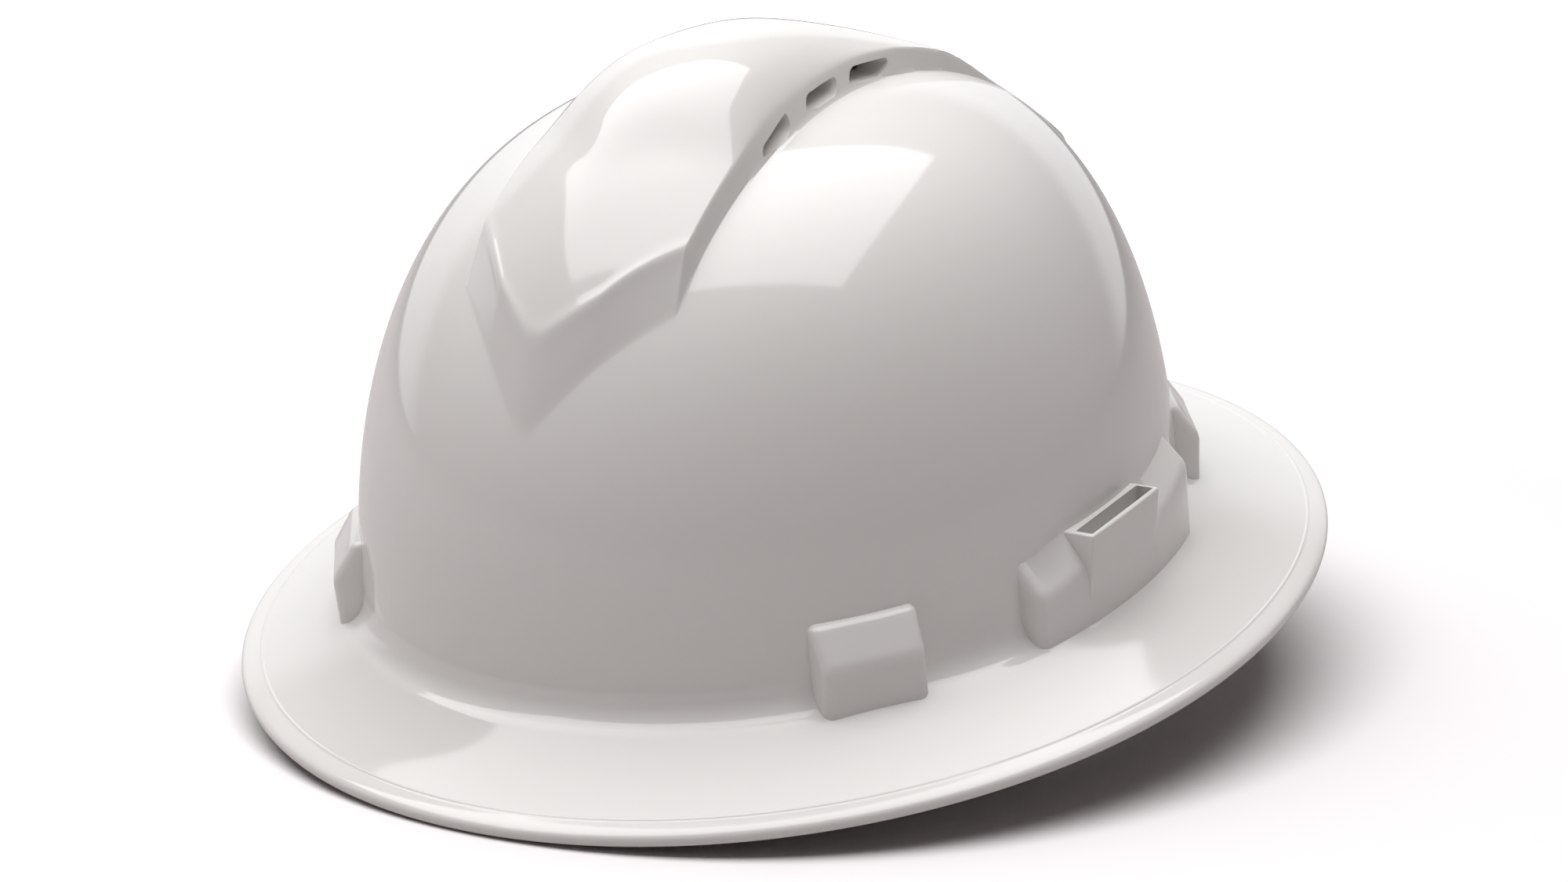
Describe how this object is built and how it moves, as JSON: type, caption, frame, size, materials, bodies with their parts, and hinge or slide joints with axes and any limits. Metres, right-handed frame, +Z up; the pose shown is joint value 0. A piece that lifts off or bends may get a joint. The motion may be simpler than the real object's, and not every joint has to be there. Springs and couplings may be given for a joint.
{
  "type": "full brim hard hat",
  "caption": "Full brim hard hat with a vented ridge, side accessory slots and a webbing suspension whose nape ratchet tightens with a knob.",
  "frame": {"origin": "centre of the footprint, on the plane the hat rests on", "axes": "+Z up, -Y where the wearer looks, +X the wearer's left; the hat rests tipped forward on its front brim and its nape ratchet"},
  "size_m": [0.2624, 0.307, 0.1684],
  "materials": {
    "shell_plastic": "glossy moulded polyethylene",
    "band_plastic": "satin moulded polyethylene",
    "key_plastic": "satin moulded nylon",
    "strap_webbing": "woven webbing",
    "pad_fabric": "soft knitted cover over foam",
    "ratchet_plastic": "fine textured plastic",
    "gear_plastic": "natural acetal plastic",
    "knob_plastic": "grippy textured plastic",
    "screw_steel": "zinc plated steel"
  },
  "bodies": {
    "hat": {"shell": "shell_plastic", "headband": "band_plastic", "brow_pad": "pad_fabric", "crown_strap_a": "strap_webbing", "crown_strap_b": "strap_webbing", "key_front_left": "key_plastic", "key_front_right": "key_plastic", "key_rear_left": "key_plastic", "key_rear_right": "key_plastic", "nape_arm_left": "band_plastic", "nape_arm_right": "band_plastic", "arm_rivets": "key_plastic"},
    "carriage": {"ratchet_base": "ratchet_plastic", "ratchet_cover": "ratchet_plastic", "nape_pad": "pad_fabric"},
    "rack_left_strap": {"rack_left": "gear_plastic"},
    "rack_right_strap": {"rack_right": "gear_plastic"},
    "knob_set": {"knob": "knob_plastic", "pinion": "gear_plastic", "pawl_disc": "gear_plastic", "knob_screw": "screw_steel"}
  },
  "joints": [
    {"name": "knob_turn", "type": "hinge", "parent": "carriage", "child": "knob_set", "pos_m": [0, 0.1018, 0.01637], "axis": [0, -0.9899, -0.1416], "range_deg": [-37.1, 243.4], "deforming": ["pawl_disc"]},
    {"name": "nape_slide", "type": "slide", "parent": "hat", "child": "carriage", "axis": [0, -0.9899, -0.1416], "range_m": [-0.00464, 0.03046], "deforming": ["nape_arm_left", "nape_arm_right"]},
    {"name": "left_strap_slide", "type": "hinge", "parent": "carriage", "child": "rack_left_strap", "pos_m": [0, 0.02161, 0.0049], "axis": [0, -0.1416, 0.9899], "range_deg": [-3.1, 20.1]},
    {"name": "right_strap_slide", "type": "hinge", "parent": "carriage", "child": "rack_right_strap", "pos_m": [0, 0.02161, 0.0049], "axis": [0, -0.1416, 0.9899], "range_deg": [-19.7, 3.1]}
  ],
  "couplings": [
    {"joint": "knob_turn", "follows": "nape_slide", "rad_per_m": 139.43},
    {"joint": "left_strap_slide", "follows": "nape_slide", "rad_per_m": 11.474},
    {"joint": "right_strap_slide", "follows": "nape_slide", "rad_per_m": -11.223}
  ]
}
